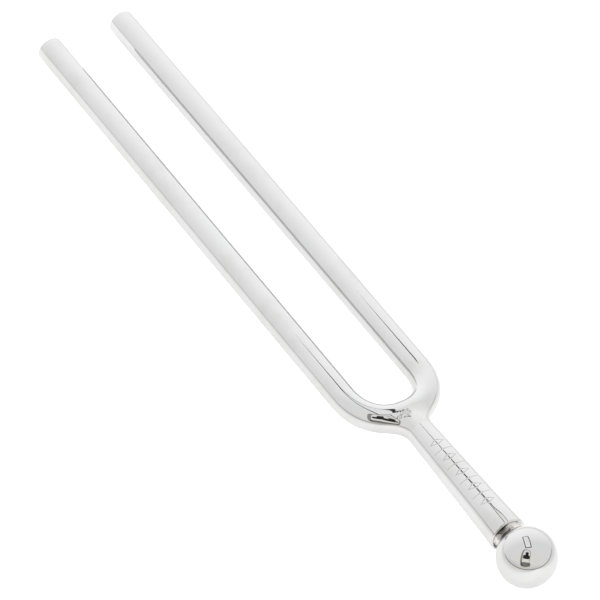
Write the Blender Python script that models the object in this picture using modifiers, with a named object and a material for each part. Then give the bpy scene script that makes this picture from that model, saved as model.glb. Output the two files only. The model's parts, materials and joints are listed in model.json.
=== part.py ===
"""Steel tuning fork with two round tines, a tapered stem and a ball foot, lying on its side.

Every piece is built in the fork's own frame: the origin is the centre of the ball, +X runs along
the stem to the tine tips, Y runs across the two tines and Z is square to both. A "station" is a
distance along that X axis. The empty fork_axis then lays the fork down on the ball and the tine
tips, with the tips towards world -X and the middle of its footprint at the world origin.
"""

import math

import bmesh
import bpy
from mathutils import Vector

# Driving dimensions, in metres.
ROD_DIAMETER = 0.0050
TINE_SPACING = 0.0150
TINE_STRAIGHT_LENGTH = 0.1016
BOW_DEPTH = 0.0088
BOW_FULLNESS = 2.28
BALL_DIAMETER = 0.01064
BOW_APEX_STATION = 0.0380
STEM_SHOULDER_STATION = 0.0056
STEM_SHOULDER_DIAMETER = 0.00685
STEM_THIN_DIAMETER = 0.00515
STEM_THIN_STATION = 0.0330
PIN_DIAMETER = 0.0030
PIN_DEPTH_IN_STEM = 0.0060
PIN_DEPTH_IN_BALL = 0.0050

# Edges and the room between pieces that touch.
TIP_CHAMFER = 0.00025
SHOULDER_CHAMFER = 0.00025
PIN_CHAMFER = 0.0002
TOUCHING_GAP = 0.0003

# The run of braze round the neck: its radius at the stem and at the ball, and its side's hollow.
NECK_BRAZE_RADIUS = 0.0031
NECK_BRAZE_FOOT = 0.0028
NECK_BRAZE_HOLLOW = 0.0001
NECK_BRAZE_ROWS = 4

# The braze fillet's foot on the bow: how far it reaches across and round the rod.
FILLET_HALF_WIDTH = 0.0050
FILLET_WRAP = math.radians(82)
FILLET_HANDLE = 0.42

# Facets, and the angles between faces above which an edge is shaded sharp or chamfered.
ROD_BEVEL_RESOLUTION = 10
BOW_SEGMENTS = 36
TURNED_STEPS = 32
BALL_ROWS_PER_QUARTER = 9
FILLET_COLUMNS = 32
FILLET_ROWS = 8
WELD_DISTANCE = 0.00001
SHARP_ANGLE = math.radians(40)
CHAMFERED_ANGLE = math.radians(60)

# Sizes that follow.
ROD_RADIUS = ROD_DIAMETER / 2
BALL_RADIUS = BALL_DIAMETER / 2
HALF_SPACING = TINE_SPACING / 2
BOW_END_STATION = BOW_APEX_STATION + BOW_DEPTH
TIP_STATION = BOW_END_STATION + TINE_STRAIGHT_LENGTH
PIN_RADIUS = PIN_DIAMETER / 2
BORE_RADIUS = PIN_RADIUS + TOUCHING_GAP
BORE_MOUTH_STATION = math.sqrt(BALL_RADIUS**2 - BORE_RADIUS**2)
SLOPE_STEP = HALF_SPACING / 1000


def clear_scene():
    for obj in list(bpy.data.objects):
        bpy.data.objects.remove(obj, do_unlink=True)


def new_collection(name):
    collection = bpy.data.collections.new(name)
    bpy.context.scene.collection.children.link(collection)
    return collection


def metal(name, colour, roughness):
    material = bpy.data.materials.new(name)
    material.use_nodes = True
    shader = material.node_tree.nodes["Principled BSDF"]
    shader.inputs["Base Color"].default_value = (*colour, 1.0)
    shader.inputs["Metallic"].default_value = 1.0
    shader.inputs["Roughness"].default_value = roughness
    return material


def lay_down_angle():
    """How far the fork tips down towards its tine tips when it lies on the ball and the tips.

    A tine touches the ground at the inner edge of its tip chamfer, so the angle a solves
    reach * sin(a) + ROD_RADIUS * cos(a) = BALL_RADIUS.
    """
    reach = TIP_STATION - TIP_CHAMFER
    return math.asin(BALL_RADIUS / math.hypot(reach, ROD_RADIUS)) - math.atan2(ROD_RADIUS, reach)


def add_fork_axis(collection):
    """The empty that carries every piece from the fork's frame to the world."""
    angle = lay_down_angle()
    end_face_radius = ROD_RADIUS - TIP_CHAMFER
    tip_reach = TIP_STATION * math.cos(angle) + end_face_radius * math.sin(angle)
    axis = bpy.data.objects.new("fork_axis", None)
    axis.location = ((tip_reach - BALL_RADIUS) / 2, 0.0, BALL_RADIUS)
    axis.rotation_euler = (0.0, angle, math.pi)
    collection.objects.link(axis)
    return axis


def add_mesh_object(name, mesh, axis, collection, material=None):
    obj = bpy.data.objects.new(name, mesh)
    obj.parent = axis
    collection.objects.link(obj)
    if material:
        mesh.materials.clear()
        mesh.materials.append(material)
    return obj


def hide_cutter(cutter):
    cutter.hide_render = True
    cutter.display_type = "WIRE"


def bow_station(y):
    """Station of the rod's centre line in the bow, y from the fork's middle plane."""
    across = abs(y / HALF_SPACING) ** BOW_FULLNESS
    return BOW_END_STATION - BOW_DEPTH * (1 - across) ** (1 / BOW_FULLNESS)


def bow_frame(y):
    """Centre, tangent towards +Y and outward normal of the bow's centre line at y."""
    centre = Vector((bow_station(y), y, 0.0))
    rise = (bow_station(y + SLOPE_STEP) - bow_station(y - SLOPE_STEP)) / (2 * SLOPE_STEP)
    tangent = Vector((rise, 1.0, 0.0)).normalized()
    outward = Vector((-tangent.y, tangent.x, 0.0))
    return centre, tangent, outward


def rod_centre_line(straight_length):
    """Points from one tine's end round the bow, a superellipse, to the other tine's end."""
    end = BOW_END_STATION + straight_length
    power = 2 / BOW_FULLNESS
    points = [(end, HALF_SPACING, 0.0)]
    for index in range(BOW_SEGMENTS + 1):
        turn = math.pi * index / BOW_SEGMENTS
        across = math.copysign(abs(math.cos(turn)) ** power, math.cos(turn))
        back = abs(math.sin(turn)) ** power
        points.append((BOW_END_STATION - BOW_DEPTH * back, HALF_SPACING * across, 0.0))
    points.append((end, -HALF_SPACING, 0.0))
    return points


def bent_rod_mesh(name, radius, straight_length, collection):
    """A round rod bent to a U, as a closed mesh."""
    curve = bpy.data.curves.new(name, "CURVE")
    curve.dimensions = "3D"
    curve.bevel_depth = radius
    curve.bevel_resolution = ROD_BEVEL_RESOLUTION
    curve.use_fill_caps = True
    points = rod_centre_line(straight_length)
    spline = curve.splines.new("POLY")
    spline.points.add(len(points) - 1)
    for point, place in zip(spline.points, points):
        point.co = (*place, 1.0)
    guide = bpy.data.objects.new(name, curve)
    collection.objects.link(guide)
    graph = bpy.context.evaluated_depsgraph_get()
    mesh = bpy.data.meshes.new_from_object(guide.evaluated_get(graph))
    bpy.data.objects.remove(guide, do_unlink=True)
    weld(mesh)
    return mesh


def weld(mesh):
    work = bmesh.new()
    work.from_mesh(mesh)
    bmesh.ops.remove_doubles(work, verts=work.verts, dist=WELD_DISTANCE)
    bmesh.ops.recalc_face_normals(work, faces=work.faces)
    work.to_mesh(mesh)
    work.free()


def add_tine_rod(axis, collection, material):
    """Both tines and the bow between them: one rod, cut square, its ends lightly chamfered."""
    mesh = bent_rod_mesh("tine_rod", ROD_RADIUS, TINE_STRAIGHT_LENGTH, collection)
    mesh.shade_smooth()
    mesh.set_sharp_from_angle(angle=SHARP_ANGLE)
    rod = add_mesh_object("tine_rod", mesh, axis, collection, material)
    chamfer = rod.modifiers.new("tip_chamfer", "BEVEL")
    chamfer.width = TIP_CHAMFER
    chamfer.segments = 1
    chamfer.limit_method = "ANGLE"
    chamfer.angle_limit = CHAMFERED_ANGLE
    return rod


def fillet_section(turn):
    """One line of the fillet's skin, from the stem's end to the bow, at this angle round the stem.

    It is a Bezier curve that leaves along the stem and lands along the rod's surface.
    """
    start_radius = STEM_THIN_DIAMETER / 2
    start_station = STEM_THIN_STATION + TOUCHING_GAP
    start = Vector((start_station, start_radius * math.cos(turn), start_radius * math.sin(turn)))
    centre, tangent, outward = bow_frame(FILLET_HALF_WIDTH * math.cos(turn))
    wrap = FILLET_WRAP * math.sin(turn)
    up = Vector((0.0, 0.0, 1.0))
    end = centre + ROD_RADIUS * (math.cos(wrap) * outward + math.sin(wrap) * up)
    across = FILLET_HALF_WIDTH * math.cos(turn) * tangent
    round_rod = math.cos(wrap) * up - math.sin(wrap) * outward
    around = ROD_RADIUS * FILLET_WRAP * math.sin(turn) * round_rod
    landing = (across + around).normalized()
    handle = FILLET_HANDLE * (end - start).length
    leave = start + Vector((handle, 0.0, 0.0))
    arrive = end - handle * landing
    section = []
    for row in range(FILLET_ROWS + 1):
        t = row / FILLET_ROWS
        s = 1 - t
        section.append(s**3 * start + 3 * s * s * t * leave + 3 * s * t * t * arrive + t**3 * end)
    return section


def add_braze_fillet(axis, collection, cutters, material):
    """The metal that joins the stem to the bow, flared along the rod on both sides."""
    work = bmesh.new()
    columns = []
    for column in range(FILLET_COLUMNS):
        section = fillet_section(2 * math.pi * column / FILLET_COLUMNS)
        columns.append([work.verts.new(point) for point in section])
    core = work.verts.new((BOW_APEX_STATION, 0.0, 0.0))
    for column, here in enumerate(columns):
        beside = columns[(column + 1) % FILLET_COLUMNS]
        for row in range(FILLET_ROWS):
            work.faces.new((here[row], here[row + 1], beside[row + 1], beside[row]))
        work.faces.new((here[-1], core, beside[-1]))
    work.faces.new([column[0] for column in columns])
    bmesh.ops.recalc_face_normals(work, faces=work.faces)
    mesh = bpy.data.meshes.new("braze_fillet")
    work.to_mesh(mesh)
    work.free()
    fillet = add_mesh_object("braze_fillet", mesh, axis, collection, material)

    room = bent_rod_mesh("rod_room", ROD_RADIUS + TOUCHING_GAP, TOUCHING_GAP, cutters)
    cutter = add_mesh_object("rod_room", room, axis, cutters)
    hide_cutter(cutter)
    cut = fillet.modifiers.new("seat_on_rod", "BOOLEAN")
    cut.operation = "DIFFERENCE"
    cut.object = cutter
    return fillet


def add_turned(name, profile, axis, collection, material):
    """A piece turned on the fork's axis. profile lists (radius, station) down its outer side."""
    mesh = bpy.data.meshes.new(name)
    edges = [(index, index + 1) for index in range(len(profile) - 1)]
    mesh.from_pydata([(radius, 0.0, station) for radius, station in profile], edges, [])
    piece = add_mesh_object(name, mesh, axis, collection, material)
    piece.rotation_euler = (0.0, math.pi / 2, 0.0)
    screw = piece.modifiers.new("turn", "SCREW")
    screw.steps = TURNED_STEPS
    screw.render_steps = TURNED_STEPS
    screw.use_merge_vertices = True
    screw.merge_threshold = WELD_DISTANCE
    screw.use_smooth_shade = True
    return piece


def stem_profile():
    """From the thin end at the bow down to the shoulder, then up the pin's blind bore."""
    shoulder_radius = STEM_SHOULDER_DIAMETER / 2
    bore_end = STEM_SHOULDER_STATION + PIN_DEPTH_IN_STEM + TOUCHING_GAP
    return [
        (0.0, STEM_THIN_STATION),
        (STEM_THIN_DIAMETER / 2, STEM_THIN_STATION),
        (shoulder_radius, STEM_SHOULDER_STATION + SHOULDER_CHAMFER),
        (shoulder_radius - SHOULDER_CHAMFER, STEM_SHOULDER_STATION),
        (BORE_RADIUS, STEM_SHOULDER_STATION),
        (BORE_RADIUS, bore_end),
        (0.0, bore_end),
    ]


def ball_profile():
    """From the floor of the blind bore out of its mouth and down the ball to the far pole."""
    bore_floor = BORE_MOUTH_STATION - PIN_DEPTH_IN_BALL - TOUCHING_GAP
    profile = [(0.0, bore_floor), (BORE_RADIUS, bore_floor)]
    mouth_angle = math.asin(BORE_RADIUS / BALL_RADIUS)
    quarter = math.pi / 2
    shares = [row / BALL_ROWS_PER_QUARTER for row in range(BALL_ROWS_PER_QUARTER)]
    angles = [mouth_angle + (quarter - mouth_angle) * share for share in shares]
    angles += [quarter + quarter * share for share in shares]
    profile += [(BALL_RADIUS * math.sin(angle), BALL_RADIUS * math.cos(angle)) for angle in angles]
    profile.append((0.0, -BALL_RADIUS))
    return profile


def pin_profile():
    top = STEM_SHOULDER_STATION + PIN_DEPTH_IN_STEM
    bottom = BORE_MOUTH_STATION - PIN_DEPTH_IN_BALL
    return [
        (0.0, top),
        (PIN_RADIUS - PIN_CHAMFER, top),
        (PIN_RADIUS, top - PIN_CHAMFER),
        (PIN_RADIUS, bottom + PIN_CHAMFER),
        (PIN_RADIUS - PIN_CHAMFER, bottom),
        (0.0, bottom),
    ]


def ball_braze_profile():
    """A thin ring round the neck: flat against the stem, and dished to follow the ball."""
    top = STEM_SHOULDER_STATION - TOUCHING_GAP
    seat_radius = BALL_RADIUS + TOUCHING_GAP
    inner_radius = BORE_RADIUS + TOUCHING_GAP
    bottom = math.sqrt(seat_radius**2 - NECK_BRAZE_FOOT**2)
    profile = [(inner_radius, top)]
    for row in range(NECK_BRAZE_ROWS + 1):
        share = row / NECK_BRAZE_ROWS
        radius = NECK_BRAZE_RADIUS + (NECK_BRAZE_FOOT - NECK_BRAZE_RADIUS) * share
        radius -= NECK_BRAZE_HOLLOW * math.sin(math.pi * share)
        profile.append((radius, top + (bottom - top) * share))
    for row in range(1, NECK_BRAZE_ROWS + 1):
        share = row / NECK_BRAZE_ROWS
        radius = NECK_BRAZE_FOOT + (inner_radius - NECK_BRAZE_FOOT) * share
        profile.append((radius, math.sqrt(seat_radius**2 - radius**2)))
    profile.append((inner_radius, top))
    return profile


def build():
    clear_scene()
    parts = new_collection("tuning_fork")
    cutters = new_collection("cutters")
    axis = add_fork_axis(parts)
    rod_nickel = metal("polished_nickel_rod", (0.58, 0.58, 0.575), 0.08)
    fillet_nickel = metal("polished_nickel_fillet", (0.57, 0.57, 0.56), 0.14)
    stem_nickel = metal("polished_nickel_stem", (0.58, 0.58, 0.575), 0.10)
    bare_steel = metal("bare_steel_pin", (0.52, 0.49, 0.46), 0.30)
    bare_braze = metal("scorched_braze", (0.42, 0.39, 0.36), 0.40)
    ball_nickel = metal("polished_nickel_ball", (0.59, 0.59, 0.59), 0.05)
    add_tine_rod(axis, parts, rod_nickel)
    add_braze_fillet(axis, parts, cutters, fillet_nickel)
    add_turned("stem", stem_profile(), axis, parts, stem_nickel)
    add_turned("neck_pin", pin_profile(), axis, parts, bare_steel)
    add_turned("ball_braze", ball_braze_profile(), axis, parts, bare_braze)
    add_turned("ball_foot", ball_profile(), axis, parts, ball_nickel)


build()
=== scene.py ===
"""Looks of the steel tuning fork: fine surfaces, plated metal, a light table and a soft studio.

Every piece is built in the fork's own frame and then moved to the row frame. The fork's frame has
its origin at the ball's centre, +X ("station") towards the tine tips, +Y across the tines and +Z
square to both. All sizes are in metres.
"""

import json
import math

import bmesh
import bpy
from mathutils import Matrix, Vector, noise


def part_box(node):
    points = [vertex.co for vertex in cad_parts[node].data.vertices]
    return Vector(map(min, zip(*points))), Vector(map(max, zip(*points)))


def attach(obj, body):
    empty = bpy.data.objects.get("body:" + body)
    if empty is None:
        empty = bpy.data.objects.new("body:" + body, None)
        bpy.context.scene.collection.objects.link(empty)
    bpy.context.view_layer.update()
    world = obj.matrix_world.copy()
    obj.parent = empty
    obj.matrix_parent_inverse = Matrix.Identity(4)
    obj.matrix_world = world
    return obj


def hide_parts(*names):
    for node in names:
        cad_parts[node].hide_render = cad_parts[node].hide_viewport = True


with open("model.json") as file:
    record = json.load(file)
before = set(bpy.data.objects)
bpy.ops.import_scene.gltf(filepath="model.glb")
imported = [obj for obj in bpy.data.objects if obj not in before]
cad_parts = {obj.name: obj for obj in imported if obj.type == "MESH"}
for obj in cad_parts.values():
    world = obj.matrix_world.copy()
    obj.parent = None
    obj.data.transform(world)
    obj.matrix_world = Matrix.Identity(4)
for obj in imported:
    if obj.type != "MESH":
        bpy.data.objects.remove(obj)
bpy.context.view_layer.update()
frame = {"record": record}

# The fork's frame, from the ball's box and from the mounts on the two tine ends.
mounts = {mount["name"]: mount for mount in frame["record"]["mounts"]}
ball_low, ball_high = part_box("ball_foot")
rod_low, rod_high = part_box("tine_rod")
BALL_RADIUS = (ball_high.y - ball_low.y) / 2
BALL_CENTRE = Vector((ball_high.x - BALL_RADIUS, 0.0, (ball_low.z + ball_high.z) / 2))
TIP_ENDS = [Vector(mounts[name]["pos_m"]) for name in ("tine_end_minus_y", "tine_end_plus_y")]
TIP_MIDDLE = (TIP_ENDS[0] + TIP_ENDS[1]) / 2
HALF_SPACING = mounts["tine_end_plus_y"]["pos_m"][1]
ROD_RADIUS = rod_high.y - HALF_SPACING
TIP_STATION = (TIP_MIDDLE - BALL_CENTRE).length

# The design's other sizes, as in the CAD model.
BOW_APEX_STATION = 0.0380
BOW_DEPTH = 0.0088
BOW_FULLNESS = 2.28
STEM_SHOULDER_STATION = 0.0056
STEM_SHOULDER_RADIUS = 0.003425
STEM_THIN_STATION = 0.0330
STEM_THIN_RADIUS = 0.002575
PIN_RADIUS = 0.0015
PIN_DEPTH_IN_STEM = 0.0060
PIN_DEPTH_IN_BALL = 0.0050
BORE_RADIUS = 0.0018
EDGE_ROUND = 0.00025
SHOULDER_ROUND = 0.0004
FILLET_HALF_WIDTH = 0.0050
FILLET_WRAP = math.radians(82)
FILLET_HANDLE = 0.42
BOW_END_STATION = BOW_APEX_STATION + BOW_DEPTH
STEM_RUN = STEM_THIN_STATION - STEM_SHOULDER_STATION
STEM_TAPER = math.atan2(STEM_SHOULDER_RADIUS - STEM_THIN_RADIUS, STEM_RUN)

# The run of braze round the neck: its radius at the stem and at the ball, its side's hollow, and the
# height and number of its lumps.
NECK_BRAZE_RADIUS = 0.0031
NECK_BRAZE_FOOT = 0.0028
NECK_BRAZE_HOLLOW = 0.0001
NECK_LUMP = 0.00008
NECK_LUMPS_PER_METRE = 900.0

# Painted shade on that braze. It darkens the corners at the stem and at the ball, over a share of
# the ring's length, faint all round and much darker in a patch of painted dark reflection. A patch has
# its middle and half width as turns round the ring, and its darkness between the corners.
CORNER_SHADE_SHARE = 0.22
CORNER_PAINTED_SHADE = 0.15
PATCH_CORNER_PAINTED_SHADE = 0.85
PAINTED_DARK_PATCHES = [(math.radians(54), math.radians(35), 0.65), (math.radians(-20), math.radians(22), 1.0)]

# The pits and lumps left on top of the fillet where it was dressed: their middle and half width as
# turns round the stem and as shares of the way to the rod, their height, how fine they are, and how
# much painted shade darkens a pit for each scar height of its depth.
SCAR_TURN = math.radians(70)
SCAR_HALF_TURN = math.radians(20)
SCAR_SHARE = 0.76
SCAR_HALF_SHARE = 0.20
SCAR_HEIGHT = 0.00011
SCARS_PER_METRE = 1500.0
SCAR_FADE = 1.0
SCAR_FINER = 2.0
SCAR_LAYERS = 3
PIT_PAINTED_SHADE = 3.0

# The engraved row of generic marks on the stem: lozenges with a tick between each two.
MARK_ANGLE = math.radians(82)
MARK_FIRST_STATION = 0.0118
MARK_PITCH = 0.0020
MARK_COUNT = 9
TICK_HALF_HEIGHT = 0.0018
LOZENGE_HALF_HEIGHT = 0.0013
LOZENGE_HALF_LENGTH = 0.00055
GROOVE_HALF_WIDTH = 0.0001
GROOVE_DEPTH = 0.00002

# Mesh fineness, and the angle between faces above which an edge is shaded sharp.
AROUND = 96
BALL_AROUND = 128
NECK_AROUND = 192
QUARTER_STEPS = 6
ENGRAVED_PITCH = 0.00005
SHARP_ANGLE = math.radians(35)

# The names of the layers that the materials read.
UV_LAYER = "run"
# The second holds painted shade: how much shade colour is painted into grooves, pits and corners.
PAINTED_SHADE_LAYER = "painted_shade"

# What the nickel plate reflects where it is clean and where it is hazy, how much of that is left at a
# grazing angle, and the colour of the painted shade in its grooves and pits.
PLATE_CLEAN = (0.588, 0.588, 0.592)
PLATE_HAZY = (0.553, 0.55, 0.545)
FILLET_CLEAN = (0.578, 0.577, 0.576)
FILLET_HAZY = (0.53, 0.525, 0.515)
BALL_CLEAN = (0.567, 0.567, 0.57)
BALL_HAZY = (0.542, 0.54, 0.535)
EDGE_TINT = 0.91
PAINTED_SHADE_COLOUR = (0.11, 0.10, 0.09)

# The plate's pattern: polishing lines and hazy patches in a metre, the noise values where a patch
# starts and is full, how much lines and patches add to the roughness, and what full painted shade does.
LINES_ALONG = 120.0
LINES_AROUND = 9000.0
HAZE_PER_METRE = 130.0
HAZE_RANGE = (0.45, 0.75)
HAZE_ROUGHER = 0.8
LINES_ROUGHER = 0.6
PLATE_SHADE_COVER = 0.38
PLATE_SHADE_ROUGHER = 0.3

# What the bare pin and the neck's braze reflect where they are clean and where they are black: black
# from blotches, and on the neck's braze also from painted shade.
PIN_PALE = (0.34, 0.25, 0.16)
PIN_DARK = (0.03, 0.022, 0.016)
NECK_PALE = (0.59, 0.57, 0.545)
NECK_DARK = (0.025, 0.021, 0.018)

# The pattern of that bare metal: blotches and grit in a metre, the noise values where a blotch starts
# and is full and where grit is smoothest and roughest, how much blotches and painted shade blacken it,
# and the grit's height.
BLOTCHES_PER_METRE = 1400.0
BLOTCH_RANGE = (0.54, 0.66)
BLOTCH_COVER = 0.5
BARE_SHADE_COVER = 1.2
GRIT_PER_METRE = 6000.0
GRIT_RANGE = (0.3, 0.7)
GRIT_HEIGHT = 0.00002

# The camera, around the middle of the picture. Azimuth 0 looks along +Y.
CAMERA_AZIMUTH = math.radians(55.82)
CAMERA_ELEVATION = math.radians(45.98)
CAMERA_ROLL = math.radians(3.86)
CAMERA_DISTANCE = 0.9587
CAMERA_AIM = Vector((0.0005, -0.0011, 0.0033))
CAMERA_LENS = 328.4
CAMERA_SENSOR = 36.0

# The softbox overhead: a glowing front in a thin dark rim, which is part of its length and width.
SOFTBOX_CENTRE = Vector((-0.1005, 0.063, 0.5))
SOFTBOX_TURN = math.radians(160)
SOFTBOX_LENGTH = 0.495
SOFTBOX_WIDTH = 0.190
SOFTBOX_RIM = 0.024
SOFTBOX_GREY = 0.1
SOFTBOX_GLOW = 0.97
RIM_GREY = 0.03
RIM_GLOW = 0.01

# The light table. Its glow is a painted pool of light, full next to the fork's axis and falling to a
# share of that further out.
TABLE_SIZE = 8.0
TABLE_HEIGHT = -0.00002
TABLE_GREY = 0.75
TABLE_GLOW = 0.60
TABLE_FAR_SHARE = 0.42
TABLE_FADE = (0.005, 0.060)
MATT_ROUGHNESS = 0.9

# The room is the sky. A place on it is an azimuth and an elevation in degrees, and azimuth 0 is -Y.
# A side runs between two cosines of the angle from its place, and a height between two sines of the
# elevation: nothing shows at the first of the two, and all of it does at the second. The skirting's
# side is measured from the backdrop's place, because it lies opposite.
ROOM_LIGHT = 1.158
BACKDROP_PLACE = (-112.0, 5.0)
BACKDROP_SIDE = (0.27, 0.95)
BACKDROP_FALLOFF = 1.1
BACKDROP_GLOW = 0.29
WALL_FOOT_PLACE = (40.0, 0.0)
WALL_FOOT_SIDE = (0.25, 0.85)
WALL_FOOT_HEIGHT = (0.34, 0.08)
WALL_FOOT_DARKNESS = 0.21
SKIRTING_SIDE = (0.45, 0.10)
SKIRTING_HEIGHT = (0.075, 0.045)
SKIRTING_DARKNESS = 0.55
WARM_PLACE = (60.0, 25.0)
WARM_SIDE = (0.45, 0.95)
WARM_TINT = (1.02, 0.99, 0.925)

# A plain camera on a stand, which the metal mirrors: boxes on the sky, each with its azimuth and
# elevation in degrees, then its half width and half height as tangents.
CAMERA_BODY = (49.0, 48.3, 0.20, 0.115)
CAMERA_FINDER = (51.0, 57.5, 0.085, 0.14)
SHADE_OUTSIDE = (44.7, 43.2, 0.29, 0.60)
SHADE_INSIDE = (48.0, 43.6, 0.21, 0.53)
STAND_HEAD = (50.5, 21.5, 0.28, 0.13)
BODY_DARKNESS = 0.97
SHADE_DARKNESS = 0.65
HEAD_DARKNESS = 0.75
PATCH_SOFTNESS = 0.03
PATCH_SQUARENESS = 4.0

fork_x = (TIP_MIDDLE - BALL_CENTRE).normalized()
fork_y = Vector((0.0, -1.0, 0.0))
fork_z = fork_x.cross(fork_y)
FORK_TO_ROW = Matrix.Translation(BALL_CENTRE) @ Matrix((fork_x, fork_y, fork_z)).transposed().to_4x4()


# ---------------------------------------------------------------- meshes


def finish_piece(name, work, node, material, sharp=SHARP_ANGLE):
    """Turns a bmesh in the fork's frame into a piece that stands for a CAD node."""
    bmesh.ops.recalc_face_normals(work, faces=work.faces)
    mesh = bpy.data.meshes.new(name)
    work.to_mesh(mesh)
    work.free()
    mesh.transform(FORK_TO_ROW)
    mesh.shade_smooth()
    mesh.set_sharp_from_angle(angle=sharp)
    mesh.materials.append(material)
    piece = bpy.data.objects.new(name, mesh)
    bpy.context.scene.collection.objects.link(piece)
    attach(piece, "root")
    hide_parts(node)
    return piece


def skin_rings(work, rings, runs, arounds):
    """Quads between rings of vertices. The UV map holds metres along the piece and metres round it."""
    layer = work.loops.layers.uv.new(UV_LAYER)
    count = len(rings[0])
    for row in range(len(rings) - 1):
        for column in range(count):
            beside = (column + 1) % count
            near, far = rings[row], rings[row + 1]
            face = work.faces.new((near[column], near[beside], far[beside], far[column]))
            places = (
                (runs[row], arounds[column]),
                (runs[row], arounds[column + 1]),
                (runs[row + 1], arounds[column + 1]),
                (runs[row + 1], arounds[column]),
            )
            for loop, place in zip(face.loops, places):
                loop[layer].uv = place


def cap_ring(work, ring, point):
    """A fan from a ring to one point."""
    centre = work.verts.new(point)
    for column, vertex in enumerate(ring):
        work.faces.new((vertex, ring[(column + 1) % len(ring)], centre))


def running_lengths(points):
    lengths = [0.0]
    for here, there in zip(points, points[1:]):
        lengths.append(lengths[-1] + (Vector(there) - Vector(here)).length)
    return lengths


def even_angles(count):
    return [2 * math.pi * index / count for index in range(count)]


def round_edge(corner_station, corner_radius, towards, radius=EDGE_ROUND):
    """(station, radius) points of a quarter round from an end face to a side, towards = +1 or -1."""
    points = []
    for step in range(QUARTER_STEPS + 1):
        turn = math.pi / 2 * step / QUARTER_STEPS
        station = corner_station + towards * radius * (1 - math.sin(turn))
        points.append((station, corner_radius - radius * (1 - math.cos(turn))))
    return points[::-1]


def turned_rings(work, profile, angles, cut=None, deepest=1.0):
    """Rings of vertices for a profile of (station, radius).

    cut(station, angle, radius) gives how far a vertex sinks below the turned surface. The painted shade
    layer holds that as a share of the deepest cut, so the grooves are painted darker where they are deeper.
    """
    painted_shade = work.verts.layers.float.new(PAINTED_SHADE_LAYER)
    rings = []
    for station, radius in profile:
        ring = []
        for angle in angles:
            sunk = cut(station, angle, radius) if cut else 0.0
            here = radius - sunk
            vertex = work.verts.new((station, here * math.cos(angle), here * math.sin(angle)))
            vertex[painted_shade] = sunk / deepest
            ring.append(vertex)
        rings.append(ring)
    return rings


def turned_work(profile, angles, cut=None, deepest=1.0):
    """A closed piece turned on the fork's axis. profile lists (station, radius) from pole to pole."""
    work = bmesh.new()
    rings = turned_rings(work, profile[1:-1], angles, cut, deepest)
    widest = max(radius for station, radius in profile)
    arounds = [angle * widest for angle in angles] + [2 * math.pi * widest]
    runs = running_lengths([(station, radius, 0.0) for station, radius in profile[1:-1]])
    skin_rings(work, rings, runs, arounds)
    cap_ring(work, rings[0], (profile[0][0], 0.0, 0.0))
    cap_ring(work, rings[-1], (profile[-1][0], 0.0, 0.0))
    return work


def bow_station(y):
    """Station of the rod's centre line in the bow, a superellipse, y from the middle plane."""
    across = abs(y / HALF_SPACING) ** BOW_FULLNESS
    return BOW_END_STATION - BOW_DEPTH * (1 - across) ** (1 / BOW_FULLNESS)


def bow_frame(y):
    """Centre, tangent towards +Y and outward normal of the bow's centre line at y."""
    step = HALF_SPACING / 1000
    rise = (bow_station(y + step) - bow_station(y - step)) / (2 * step)
    tangent = Vector((rise, 1.0, 0.0)).normalized()
    return Vector((bow_station(y), y, 0.0)), tangent, Vector((-tangent.y, tangent.x, 0.0))


def rod_centre_line():
    """Points from one tine's end round the bow to the other tine's end."""
    straight_steps = 30
    bow_steps = 140
    length = TIP_STATION - BOW_END_STATION
    power = 2 / BOW_FULLNESS
    shares = [step / straight_steps for step in range(straight_steps, 0, -1)]
    tine = [(BOW_END_STATION + length * share, HALF_SPACING) for share in shares]
    bow = []
    for step in range(bow_steps + 1):
        turn = math.pi * step / bow_steps
        across = math.copysign(abs(math.cos(turn)) ** power, math.cos(turn))
        bow.append((BOW_END_STATION - BOW_DEPTH * abs(math.sin(turn)) ** power, HALF_SPACING * across))
    other = [(station, -y) for station, y in reversed(tine)]
    return [Vector((station, y, 0.0)) for station, y in tine + bow + other]


def add_tine_rod(material):
    """One bent rod, its cut ends dressed with a small round edge."""
    line = rod_centre_line()
    up = Vector((0.0, 0.0, 1.0))
    work = bmesh.new()
    rings = []
    centres = []

    def add_ring(centre, tangent, radius):
        side = up.cross(tangent)
        ring = [centre + radius * (math.cos(a) * side + math.sin(a) * up) for a in even_angles(AROUND)]
        rings.append([work.verts.new(point) for point in ring])
        centres.append(Vector(centre))

    start_tangent = (line[1] - line[0]).normalized()
    end_tangent = (line[-1] - line[-2]).normalized()
    edge = round_edge(0.0, ROD_RADIUS, 1.0)
    for depth, radius in edge:
        add_ring(line[0] + depth * start_tangent, start_tangent, radius)
    for before, here, after in zip(line, line[1:-1], line[2:]):
        back = (here - before).normalized()
        ahead = (after - here).normalized()
        add_ring(here, (back + ahead).normalized(), ROD_RADIUS)
    for depth, radius in reversed(edge):
        add_ring(line[-1] - depth * end_tangent, end_tangent, radius)
    arounds = [angle * ROD_RADIUS for angle in even_angles(AROUND)] + [2 * math.pi * ROD_RADIUS]
    skin_rings(work, rings, running_lengths(centres), arounds)
    cap_ring(work, rings[0], line[0])
    cap_ring(work, rings[-1], line[-1])
    return finish_piece("tine_rod_surface", work, "tine_rod", material)


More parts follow.
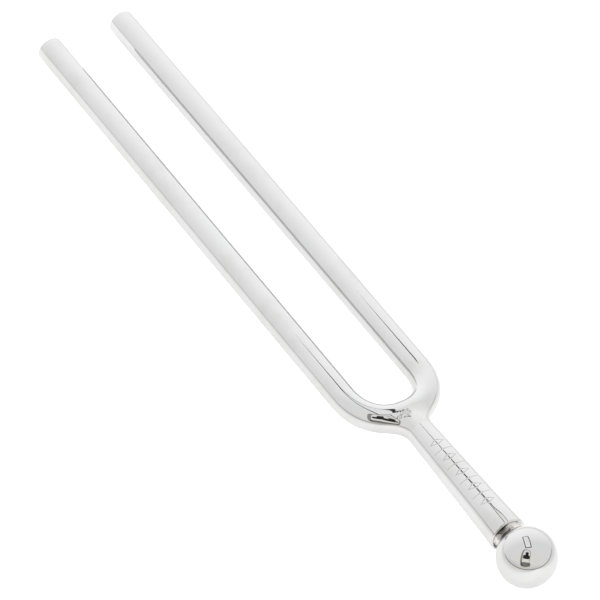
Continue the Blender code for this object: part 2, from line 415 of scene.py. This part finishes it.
def fillet_point(turn, share):
    """A point of the fillet's skin: share 0 is on the stem's thin end and 1 is on the rod."""
    radial = Vector((0.0, math.cos(turn), math.sin(turn)))
    along = Vector((1.0, 0.0, 0.0))
    up = Vector((0.0, 0.0, 1.0))
    start = STEM_THIN_STATION * along + STEM_THIN_RADIUS * radial
    centre, tangent, outward = bow_frame(FILLET_HALF_WIDTH * math.cos(turn))
    wrap = FILLET_WRAP * math.sin(turn)
    end = centre + ROD_RADIUS * (math.cos(wrap) * outward + math.sin(wrap) * up)
    round_rod = math.cos(wrap) * up - math.sin(wrap) * outward
    landing = FILLET_HALF_WIDTH * math.cos(turn) * tangent
    landing = (landing + ROD_RADIUS * FILLET_WRAP * math.sin(turn) * round_rod).normalized()
    handle = FILLET_HANDLE * (end - start).length
    leave = start + handle * (math.cos(STEM_TAPER) * along - math.sin(STEM_TAPER) * radial)
    arrive = end - handle * landing
    t = share
    s = 1 - t
    return s**3 * start + 3 * s * s * t * leave + 3 * s * t * t * arrive + t**3 * end


def bell(value):
    """1 at 0, falling smoothly to 0 at -1 and 1."""
    return max(0.0, 1 - value * value) ** 2


def scar_height(point, turn, share):
    """How far the dressed scars lift the fillet's skin here, or sink it where it is negative."""
    mask = bell((turn - SCAR_TURN) / SCAR_HALF_TURN) * bell((share - SCAR_SHARE) / SCAR_HALF_SHARE)
    if mask == 0.0:
        return 0.0
    rough = noise.fractal(point * SCARS_PER_METRE, SCAR_FADE, SCAR_FINER, SCAR_LAYERS)
    return SCAR_HEIGHT * mask * rough


def add_fillet(material):
    """The dressed braze between the stem and the bow, smooth on both sides and scarred on top."""
    columns = 360
    rows = 110
    work = bmesh.new()
    painted_shade = work.verts.layers.float.new(PAINTED_SHADE_LAYER)
    angles = even_angles(columns)
    up = Vector((0.0, 0.0, 1.0))
    rings = []
    for row in range(rows + 1):
        ring = []
        for angle in angles:
            point = fillet_point(angle, row / rows)
            height = scar_height(point, angle, row / rows)
            vertex = work.verts.new(point + height * up)
            # Painted shade in the pits, darker the deeper they sink.
            vertex[painted_shade] = min(1.0, max(0.0, -PIT_PAINTED_SHADE * height / SCAR_HEIGHT))
            ring.append(vertex)
        rings.append(ring)
    arounds = [angle * STEM_THIN_RADIUS for angle in angles] + [2 * math.pi * STEM_THIN_RADIUS]
    runs = running_lengths([fillet_point(0.0, row / rows) for row in range(rows + 1)])
    skin_rings(work, rings, runs, arounds)
    cap_ring(work, rings[0], (STEM_THIN_STATION, 0.0, 0.0))
    cap_ring(work, rings[-1], (BOW_APEX_STATION, 0.0, 0.0))
    sharp = math.radians(60)
    return finish_piece("braze_fillet_surface", work, "braze_fillet", material, sharp)


def distance_to_mark(index, along, across):
    """How far a point on the stem's skin is from one engraved mark: a tick or a lozenge's outline."""
    if index % 2:
        past_end = max(0.0, abs(across) - TICK_HALF_HEIGHT)
        return math.hypot(along, past_end)
    diagonal = math.hypot(LOZENGE_HALF_HEIGHT, LOZENGE_HALF_LENGTH)
    slope = LOZENGE_HALF_HEIGHT * LOZENGE_HALF_LENGTH / diagonal
    return slope * abs(abs(along) / LOZENGE_HALF_LENGTH + abs(across) / LOZENGE_HALF_HEIGHT - 1)


def engraving_depth(station, angle, radius):
    """How deep the engraving is at a place on the stem."""
    across = (angle - MARK_ANGLE) * radius
    place = (station - MARK_FIRST_STATION) / MARK_PITCH
    deepest = 0.0
    for index in range(max(0, int(place) - 1), min(MARK_COUNT, int(place) + 3)):
        gap = distance_to_mark(index, station - MARK_FIRST_STATION - index * MARK_PITCH, across)
        if gap < GROOVE_HALF_WIDTH:
            deepest = max(deepest, GROOVE_DEPTH * (1 - (gap / GROOVE_HALF_WIDTH) ** 2))
    return deepest


def add_stem(material):
    """The turned stem, finely meshed only where it is engraved."""
    margin = 0.0003
    reach = TICK_HALF_HEIGHT + margin
    mark_start = MARK_FIRST_STATION - reach
    mark_end = MARK_FIRST_STATION + (MARK_COUNT - 1) * MARK_PITCH + reach
    half_arc = reach / STEM_THIN_RADIUS
    fine_columns = round(2 * reach / ENGRAVED_PITCH)
    angles = [MARK_ANGLE - half_arc + 2 * half_arc * step / fine_columns for step in range(fine_columns)]
    coarse_columns = 72
    rest = 2 * math.pi - 2 * half_arc
    angles += [MARK_ANGLE + half_arc + rest * step / coarse_columns for step in range(coarse_columns)]

    bore_end = STEM_SHOULDER_STATION + PIN_DEPTH_IN_STEM
    profile = [(bore_end, 0.0), (bore_end, BORE_RADIUS), (STEM_SHOULDER_STATION, BORE_RADIUS)]
    profile += round_edge(STEM_SHOULDER_STATION, STEM_SHOULDER_RADIUS, 1.0, SHOULDER_ROUND)
    stations = [mark_start]
    while stations[-1] < mark_end:
        stations.append(stations[-1] + ENGRAVED_PITCH)
    stations += [STEM_THIN_STATION]
    slope = math.tan(STEM_TAPER)
    profile += [(station, STEM_THIN_RADIUS + slope * (STEM_THIN_STATION - station)) for station in stations]
    profile.append((STEM_THIN_STATION, 0.0))

    # The engraved grooves get painted shade, darkest where they are deepest.
    def cut(station, angle, radius):
        if not mark_start <= station <= mark_end:
            return 0.0
        return engraving_depth(station, angle, radius)

    work = turned_work(profile, angles, cut, GROOVE_DEPTH)
    sharp = math.radians(50)
    return finish_piece("stem_surface", work, "stem", material, sharp)


def add_ball(material):
    """The ball, bored for the pin."""
    rows = 72
    mouth = math.asin(BORE_RADIUS / BALL_RADIUS)
    mouth_station = BALL_RADIUS * math.cos(mouth)
    floor = mouth_station - PIN_DEPTH_IN_BALL
    profile = [(floor, 0.0), (floor, BORE_RADIUS)]
    for row in range(rows):
        angle = mouth + (math.pi - mouth) * row / rows
        profile.append((BALL_RADIUS * math.cos(angle), BALL_RADIUS * math.sin(angle)))
    profile.append((-BALL_RADIUS, 0.0))
    work = turned_work(profile, even_angles(BALL_AROUND))
    return finish_piece("ball_surface", work, "ball_foot", material)


def add_pin(material):
    """The pin that holds the ball, with a rounded edge at each end."""
    top = STEM_SHOULDER_STATION + PIN_DEPTH_IN_STEM - EDGE_ROUND
    bottom = math.sqrt(BALL_RADIUS**2 - BORE_RADIUS**2) - PIN_DEPTH_IN_BALL + EDGE_ROUND
    profile = [(bottom, 0.0)]
    profile += round_edge(bottom, PIN_RADIUS, 1.0)
    profile += round_edge(top, PIN_RADIUS, -1.0)[::-1]
    profile.append((top, 0.0))
    work = turned_work(profile, even_angles(AROUND))
    return finish_piece("neck_pin_surface", work, "neck_pin", material)


def turn_between(angle, other):
    """The turn from other to angle, from minus to plus half a turn."""
    return (angle - other + math.pi) % (2 * math.pi) - math.pi


def neck_lump(station, angle, radius):
    """How far the neck's braze sinks at a place, or rises where it is negative."""
    place = Vector((station, radius * math.cos(angle), radius * math.sin(angle)))
    return NECK_LUMP * noise.noise(place * NECK_LUMPS_PER_METRE)


def add_ball_braze(material):
    """The lumpy run of braze that fills the neck from the stem's shoulder to the ball."""
    rows = 20
    foot_station = math.sqrt(BALL_RADIUS**2 - NECK_BRAZE_FOOT**2)
    outside = []
    for row in range(rows + 1):
        share = row / rows
        station = STEM_SHOULDER_STATION + (foot_station - STEM_SHOULDER_STATION) * share
        radius = NECK_BRAZE_RADIUS + (NECK_BRAZE_FOOT - NECK_BRAZE_RADIUS) * share
        outside.append((station, radius - NECK_BRAZE_HOLLOW * math.sin(math.pi * share)))
    work = bmesh.new()
    angles = even_angles(NECK_AROUND)
    skin = turned_rings(work, outside, angles, neck_lump, NECK_LUMP)
    bore_end = math.sqrt(BALL_RADIUS**2 - PIN_RADIUS**2)
    painted_shade = work.verts.layers.float[PAINTED_SHADE_LAYER]
    bore = []
    for station in (bore_end, STEM_SHOULDER_STATION):
        places = [(station, PIN_RADIUS * math.cos(angle), PIN_RADIUS * math.sin(angle)) for angle in angles]
        bore.append([work.verts.new(place) for place in places])
    # Painted shade in the corners at the stem and at the ball, and painted dark reflection in patches on
    # one side.
    for row, ring in enumerate(skin):
        corner = max(bell((row / rows - 1) / CORNER_SHADE_SHARE), bell(row / rows / CORNER_SHADE_SHARE))
        for angle, vertex in zip(angles, ring):
            vertex[painted_shade] = CORNER_PAINTED_SHADE * corner
            for middle, half_turn, share in PAINTED_DARK_PATCHES:
                scorch = bell(turn_between(angle, middle) / half_turn)
                vertex[painted_shade] += scorch * (PATCH_CORNER_PAINTED_SHADE * corner + share)
    rings = skin + bore + skin[:1]
    runs = running_lengths([(station, radius, 0.0) for station, radius in outside])
    runs += [runs[-1] + step * NECK_BRAZE_FOOT for step in (1, 2, 3)]
    arounds = [angle * NECK_BRAZE_RADIUS for angle in angles] + [2 * math.pi * NECK_BRAZE_RADIUS]
    skin_rings(work, rings, runs, arounds)
    sharp = math.radians(60)
    return finish_piece("ball_braze_surface", work, "ball_braze", material, sharp)


# ---------------------------------------------------------------- node helpers


class Nodes:
    """Short calls for building a node tree."""

    def __init__(self, tree):
        self.tree = tree

    def add(self, kind, inputs=None, **settings):
        node = self.tree.nodes.new(kind)
        for key, value in settings.items():
            setattr(node, key, value)
        for key, value in (inputs or {}).items():
            self.feed(node.inputs[key], value)
        return node

    def feed(self, socket, value):
        if isinstance(value, bpy.types.NodeSocket):
            self.tree.links.new(value, socket)
        else:
            socket.default_value = value

    def math(self, operation, *values, clamp=False):
        node = self.add("ShaderNodeMath", operation=operation, use_clamp=clamp)
        for index, value in enumerate(values):
            self.feed(node.inputs[index], value)
        return node.outputs[0]

    def dot(self, socket, vector):
        node = self.add("ShaderNodeVectorMath", {0: socket, 1: tuple(vector)}, operation="DOT_PRODUCT")
        return node.outputs["Value"]

    def ramp(self, value, start, end, low=0.0, high=1.0):
        """value's smooth rise from low at start to high at end."""
        places = {"Value": value, "From Min": start, "From Max": end, "To Min": low, "To Max": high}
        return self.add("ShaderNodeMapRange", places, interpolation_type="SMOOTHSTEP").outputs[0]

    def noise(self, vector, scale, detail=2.0, roughness=0.5):
        inputs = {"Vector": vector, "Scale": scale, "Detail": detail, "Roughness": roughness}
        return self.add("ShaderNodeTexNoise", inputs).outputs["Fac"]

    def attribute(self, name):
        return self.add("ShaderNodeAttribute", attribute_name=name).outputs["Fac"]

    def mix(self, factor, first, second):
        node = self.add("ShaderNodeMix", data_type="RGBA")
        self.feed(node.inputs["Factor"], factor)
        self.feed(node.inputs["A"], first)
        self.feed(node.inputs["B"], second)
        return node.outputs["Result"]


def new_material(name):
    material = bpy.data.materials.new(name)
    material.use_nodes = True
    material.node_tree.nodes.clear()
    return material, Nodes(material.node_tree)


# ---------------------------------------------------------------- materials


def plated_metal(name, colour, stain, roughness, grain, ripple, ripples_per_metre):
    """Bright nickel plate: fine polishing lines along the piece, faint ripples and hazy patches.

    colour and stain are what the clean and the hazy plate reflect. grain and ripple are the heights
    of the lines and of the ripples.
    """
    material, nodes = new_material(name)
    place = nodes.add("ShaderNodeTexCoord").outputs["Object"]
    run = nodes.add("ShaderNodeUVMap", uv_map=UV_LAYER).outputs["UV"]
    stretched = nodes.add("ShaderNodeMapping", {"Vector": run, "Scale": (LINES_ALONG, LINES_AROUND, 1.0)})
    lines = nodes.noise(stretched.outputs["Vector"], 1.0, detail=3.0, roughness=0.6)
    haze = nodes.noise(place, HAZE_PER_METRE, detail=4.0, roughness=0.6)
    patches = nodes.ramp(haze, *HAZE_RANGE)
    waves = nodes.noise(place, ripples_per_metre)
    shine = nodes.math("MULTIPLY_ADD", patches, roughness * HAZE_ROUGHER, roughness)
    shine = nodes.math("MULTIPLY_ADD", lines, roughness * LINES_ROUGHER, shine)
    ripples = nodes.add("ShaderNodeBump", {"Height": waves, "Strength": 1.0, "Distance": ripple})
    scratches = nodes.add("ShaderNodeBump", {"Height": lines, "Strength": 1.0, "Distance": grain})
    nodes.feed(scratches.inputs["Normal"], ripples.outputs["Normal"])
    shader = nodes.add("ShaderNodeBsdfPrincipled", {"Metallic": 1.0})
    shader.inputs["Specular Tint"].default_value = (EDGE_TINT, EDGE_TINT, EDGE_TINT, 1.0)
    plate = nodes.mix(patches, (*colour, 1.0), (*stain, 1.0))
    # Painted shade: the shade layer darkens the plate in grooves and pits and makes it a little rougher.
    painted_shade = nodes.math("MULTIPLY", nodes.attribute(PAINTED_SHADE_LAYER), PLATE_SHADE_COVER)
    nodes.feed(shader.inputs["Base Color"], nodes.mix(painted_shade, plate, (*PAINTED_SHADE_COLOUR, 1.0)))
    nodes.feed(shader.inputs["Roughness"], nodes.math("MULTIPLY_ADD", painted_shade, PLATE_SHADE_ROUGHER, shine))
    nodes.feed(shader.inputs["Normal"], scratches.outputs["Normal"])
    output = nodes.add("ShaderNodeOutputMaterial")
    nodes.feed(output.inputs["Surface"], shader.outputs["BSDF"])
    return material


def bare_metal(name, pale, dark, low_roughness, high_roughness):
    """Bare metal with blotches of scale or dried flux on it, and painted shade where the shade layer says.

    pale and dark are what the clean and the blackened metal reflect.
    """
    material, nodes = new_material(name)
    place = nodes.add("ShaderNodeTexCoord").outputs["Object"]
    stained = nodes.noise(place, BLOTCHES_PER_METRE, detail=4.0, roughness=0.6)
    blotches = nodes.ramp(stained, *BLOTCH_RANGE)
    # Painted shade from the shade layer, on top of the blotches.
    painted_dark = nodes.math("MULTIPLY", nodes.attribute(PAINTED_SHADE_LAYER), BARE_SHADE_COVER)
    blotches_and_shade = nodes.math("MULTIPLY_ADD", blotches, BLOTCH_COVER, painted_dark, clamp=True)
    grit = nodes.noise(place, GRIT_PER_METRE, detail=3.0, roughness=0.6)
    bump = nodes.add("ShaderNodeBump", {"Height": grit, "Strength": 1.0, "Distance": GRIT_HEIGHT})
    shader = nodes.add("ShaderNodeBsdfPrincipled", {"Metallic": 1.0})
    nodes.feed(shader.inputs["Base Color"], nodes.mix(blotches_and_shade, (*pale, 1.0), (*dark, 1.0)))
    nodes.feed(shader.inputs["Roughness"], nodes.ramp(grit, *GRIT_RANGE, low_roughness, high_roughness))
    nodes.feed(shader.inputs["Normal"], bump.outputs["Normal"])
    output = nodes.add("ShaderNodeOutputMaterial")
    nodes.feed(output.inputs["Surface"], shader.outputs["BSDF"])
    return material


def rod_nickel():
    return plated_metal(
        "nickel_rod",
        PLATE_CLEAN,
        PLATE_HAZY,
        roughness=0.03,
        grain=2e-8,
        ripple=8e-7,
        ripples_per_metre=900.0,
    )


def fillet_nickel():
    return plated_metal(
        "nickel_braze",
        FILLET_CLEAN,
        FILLET_HAZY,
        roughness=0.05,
        grain=4e-8,
        ripple=3e-6,
        ripples_per_metre=700.0,
    )


def stem_nickel():
    return plated_metal(
        "nickel_stem",
        PLATE_CLEAN,
        PLATE_HAZY,
        roughness=0.03,
        grain=2e-8,
        ripple=6e-7,
        ripples_per_metre=800.0,
    )


def ball_nickel():
    return plated_metal(
        "nickel_ball",
        BALL_CLEAN,
        BALL_HAZY,
        roughness=0.02,
        grain=0.0,
        ripple=4e-7,
        ripples_per_metre=500.0,
    )


def browned_steel():
    return bare_metal("browned_steel", PIN_PALE, PIN_DARK, low_roughness=0.28, high_roughness=0.55)


def scorched_braze():
    return bare_metal("scorched_braze", NECK_PALE, NECK_DARK, low_roughness=0.10, high_roughness=0.22)


# ---------------------------------------------------------------- studio


def direction(azimuth, elevation):
    """The unit vector towards a place on the sky, both angles in degrees. Azimuth 0 is -Y."""
    a = math.radians(azimuth)
    e = math.radians(elevation)
    return Vector((math.sin(a) * math.cos(e), -math.cos(a) * math.cos(e), math.sin(e)))


def patch(nodes, sky, azimuth, elevation, half_width, half_height):
    """1 inside a soft-edged, round-cornered box on the sky, and 0 outside it.

    The sizes are tangents of the half angles.
    """
    towards = direction(azimuth, elevation)
    side = Vector((0.0, 0.0, 1.0)).cross(towards).normalized()
    top = towards.cross(side)
    depth = nodes.dot(sky, towards)
    across = nodes.math("ABSOLUTE", nodes.math("DIVIDE", nodes.dot(sky, side), depth))
    up = nodes.math("ABSOLUTE", nodes.math("DIVIDE", nodes.dot(sky, top), depth))
    across = nodes.math("POWER", nodes.math("DIVIDE", across, half_width), PATCH_SQUARENESS)
    up = nodes.math("POWER", nodes.math("DIVIDE", up, half_height), PATCH_SQUARENESS)
    reach = nodes.math("POWER", nodes.math("ADD", across, up), 1 / PATCH_SQUARENESS)
    inside = nodes.ramp(reach, 1 + PATCH_SOFTNESS / half_width, 1.0)
    return nodes.math("MULTIPLY", inside, nodes.math("GREATER_THAN", depth, 0.0))


def darken(nodes, light, mask, share):
    """light with this share of it taken away where the mask is 1."""
    return nodes.math("MULTIPLY", light, nodes.math("MULTIPLY_ADD", mask, -share, 1.0))


def darken_camera(nodes, sky, light):
    """The camera on its stand, as dark shapes on the sky: a body, the frame of its shade and a head."""
    body = patch(nodes, sky, *CAMERA_BODY)
    finder = patch(nodes, sky, *CAMERA_FINDER)
    outside = patch(nodes, sky, *SHADE_OUTSIDE)
    inside = patch(nodes, sky, *SHADE_INSIDE)
    shade = nodes.math("SUBTRACT", outside, inside, clamp=True)
    head = patch(nodes, sky, *STAND_HEAD)
    light = darken(nodes, light, shade, SHADE_DARKNESS)
    light = darken(nodes, light, head, HEAD_DARKNESS)
    return darken(nodes, light, nodes.math("MAXIMUM", body, finder), BODY_DARKNESS)


def studio_sky():
    """A pale room with a brighter backdrop, a darker wall foot and skirting, a warm side and the camera."""
    world = bpy.data.worlds.new("studio")
    bpy.context.scene.world = world
    world.use_nodes = True
    world.node_tree.nodes.clear()
    nodes = Nodes(world.node_tree)
    sky = nodes.add("ShaderNodeTexCoord").outputs["Generated"]
    height = nodes.dot(sky, (0.0, 0.0, 1.0))
    behind = nodes.dot(sky, direction(*BACKDROP_PLACE))
    edge, full = BACKDROP_SIDE
    lit = nodes.add("ShaderNodeMapRange", {"Value": behind, "From Min": edge, "From Max": full})
    glow = nodes.math("POWER", lit.outputs[0], BACKDROP_FALLOFF)
    light = nodes.math("MULTIPLY_ADD", glow, BACKDROP_GLOW, 1.0)
    front = nodes.ramp(behind, *SKIRTING_SIDE)
    near_side = nodes.ramp(nodes.dot(sky, direction(*WALL_FOOT_PLACE)), *WALL_FOOT_SIDE)
    wall_foot = nodes.math("MULTIPLY", nodes.ramp(height, *WALL_FOOT_HEIGHT), near_side)
    light = darken(nodes, light, wall_foot, WALL_FOOT_DARKNESS)
    skirting = nodes.math("MULTIPLY", nodes.ramp(height, *SKIRTING_HEIGHT), front)
    light = darken(nodes, light, skirting, SKIRTING_DARKNESS)
    light = darken_camera(nodes, sky, light)
    warm_side = nodes.ramp(nodes.dot(sky, direction(*WARM_PLACE)), *WARM_SIDE)
    tint = nodes.mix(warm_side, (1.0, 1.0, 1.0, 1.0), (*WARM_TINT, 1.0))
    background = nodes.add("ShaderNodeBackground")
    nodes.feed(background.inputs["Color"], tint)
    nodes.feed(background.inputs["Strength"], nodes.math("MULTIPLY", light, ROOM_LIGHT))
    output = nodes.add("ShaderNodeOutputWorld")
    nodes.feed(output.inputs["Surface"], background.outputs["Background"])


def glowing(name, grey, strength):
    """A matt material that also shines by itself. strength is a number, or a function of the nodes."""
    material, nodes = new_material(name)
    shader = nodes.add("ShaderNodeBsdfPrincipled", {"Base Color": (grey, grey, grey, 1.0)})
    shader.inputs["Roughness"].default_value = MATT_ROUGHNESS
    shader.inputs["Emission Color"].default_value = (1.0, 1.0, 1.0, 1.0)
    shader.inputs["Specular IOR Level"].default_value = 0.0
    nodes.feed(shader.inputs["Emission Strength"], strength(nodes) if callable(strength) else strength)
    output = nodes.add("ShaderNodeOutputMaterial")
    nodes.feed(output.inputs["Surface"], shader.outputs["BSDF"])
    return material


def painted_light_pool(nodes):
    """A painted pool of light on the table: full along the fork's axis, X, and fading to both sides of it.
    """
    place = nodes.add("ShaderNodeTexCoord").outputs["Object"]
    aside = nodes.math("ABSOLUTE", nodes.dot(place, (0.0, 1.0, 0.0)))
    far_glow = TABLE_FAR_SHARE * TABLE_GLOW * ROOM_LIGHT
    return nodes.ramp(aside, *TABLE_FADE, TABLE_GLOW * ROOM_LIGHT, far_glow)


def add_light_table():
    """A white table top, lit from below as well, so that the fork casts almost no shadow."""
    bpy.ops.mesh.primitive_plane_add(size=TABLE_SIZE, location=(0.0, 0.0, TABLE_HEIGHT))
    table = bpy.context.object
    table.name = "light_table"
    table.data.materials.append(glowing("white_acrylic", TABLE_GREY, painted_light_pool))


def add_softbox():
    """The big soft lamp over the fork, with its thin dark rim. The camera sees only its reflection."""
    long_axis = Vector((math.cos(SOFTBOX_TURN), math.sin(SOFTBOX_TURN), 0.0))
    short_axis = Vector((-long_axis.y, long_axis.x, 0.0))
    mesh = bpy.data.meshes.new("softbox")
    work = bmesh.new()
    loops = []
    for grow in (0.0, SOFTBOX_RIM):
        half_long = SOFTBOX_LENGTH / 2 - SOFTBOX_RIM + grow
        half_short = SOFTBOX_WIDTH / 2 - SOFTBOX_RIM + grow
        corners = [(half_long, half_short), (-half_long, half_short)]
        corners += [(-along, -across) for along, across in corners]
        places = [SOFTBOX_CENTRE + along * long_axis + across * short_axis for along, across in corners]
        loops.append([work.verts.new(place) for place in places])
    work.faces.new(loops[0])
    for corner in range(4):
        beside = (corner + 1) % 4
        edge = (loops[0][corner], loops[1][corner], loops[1][beside], loops[0][beside])
        work.faces.new(edge).material_index = 1
    work.to_mesh(mesh)
    work.free()
    mesh.materials.append(glowing("softbox_front", SOFTBOX_GREY, SOFTBOX_GLOW * ROOM_LIGHT))
    mesh.materials.append(glowing("softbox_rim", RIM_GREY, RIM_GLOW))
    softbox = bpy.data.objects.new("softbox", mesh)
    bpy.context.scene.collection.objects.link(softbox)
    softbox.visible_camera = False


def add_camera():
    data = bpy.data.cameras.new("camera")
    data.lens = CAMERA_LENS
    data.sensor_width = CAMERA_SENSOR
    data.clip_start = 0.01
    data.clip_end = 20.0
    camera = bpy.data.objects.new("camera", data)
    bpy.context.scene.collection.objects.link(camera)
    back = direction(math.degrees(CAMERA_AZIMUTH), math.degrees(CAMERA_ELEVATION))
    level = Vector((math.cos(CAMERA_AZIMUTH), math.sin(CAMERA_AZIMUTH), 0.0))
    above = back.cross(level)
    right = math.cos(CAMERA_ROLL) * level + math.sin(CAMERA_ROLL) * above
    turned = Matrix((right, back.cross(right), back)).transposed().to_4x4()
    camera.matrix_world = Matrix.Translation(CAMERA_AIM + CAMERA_DISTANCE * back) @ turned
    bpy.context.scene.camera = camera


# ---------------------------------------------------------------- the scene

bpy.context.scene.view_settings.view_transform = "Standard"
add_camera()
studio_sky()
add_light_table()
add_softbox()

add_tine_rod(rod_nickel())
add_fillet(fillet_nickel())
add_stem(stem_nickel())
add_ball(ball_nickel())
add_pin(browned_steel())
add_ball_braze(scorched_braze())
